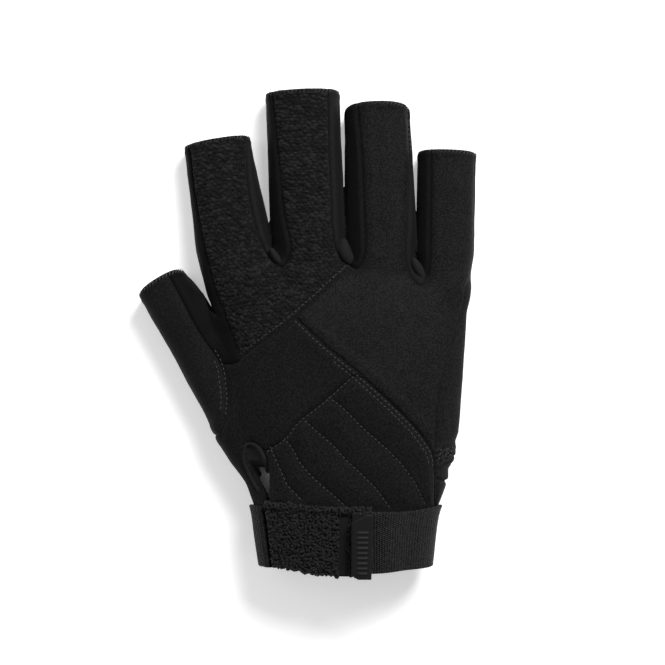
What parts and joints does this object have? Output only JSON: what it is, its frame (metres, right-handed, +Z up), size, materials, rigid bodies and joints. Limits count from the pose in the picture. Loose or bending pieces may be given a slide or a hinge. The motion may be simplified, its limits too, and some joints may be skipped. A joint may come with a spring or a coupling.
{
  "type": "short-finger neoprene sports glove",
  "caption": "Right-hand neoprene sports glove with cut-off fingers, sewn from panels, with a slit cuff and an elastic wrist strap, lying on its palm.",
  "frame": {"origin": "on the flat underside of the palm, where the glove lies, under the middle of the palm", "axes": "+Z up out of the back of the hand, +Y towards the fingertips, +X towards the little finger"},
  "size_m": [0.14, 0.2023, 0.038],
  "materials": {
    "knit_fabric": "black pebbled knit",
    "neoprene": "black jersey bonded on foam rubber",
    "stretch_cloth": "black smooth stretch cloth",
    "thumb_cloth": "black smooth stretch cloth",
    "side_cloth": "black smooth stretch cloth",
    "palm_suede": "black synthetic suede",
    "binding_tape": "black rolled knitted tape",
    "loop_pile": "black napped loop pile",
    "elastic_webbing": "black woven ribbed elastic",
    "tab_rubber": "black moulded rubber, matt",
    "label_cloth": "light grey woven label"
  },
  "bodies": {
    "root": {"knit_back_panel": "knit_fabric", "neoprene_back_panel": "neoprene", "hand_back_panel": "stretch_cloth", "wrist_back_pad": "stretch_cloth", "thumb_panel": "thumb_cloth", "thumb_index_gusset": "side_cloth", "fourchette_index_middle": "side_cloth", "fourchette_middle_ring": "side_cloth", "fourchette_ring_little": "side_cloth", "outer_side_panel": "palm_suede", "palm_panel": "palm_suede", "slit_binding": "binding_tape", "cuff_loop_panel": "loop_pile", "wrist_strap": "elastic_webbing", "pull_tab": "tab_rubber", "inner_label": "label_cloth"}
  },
  "joints": []
}
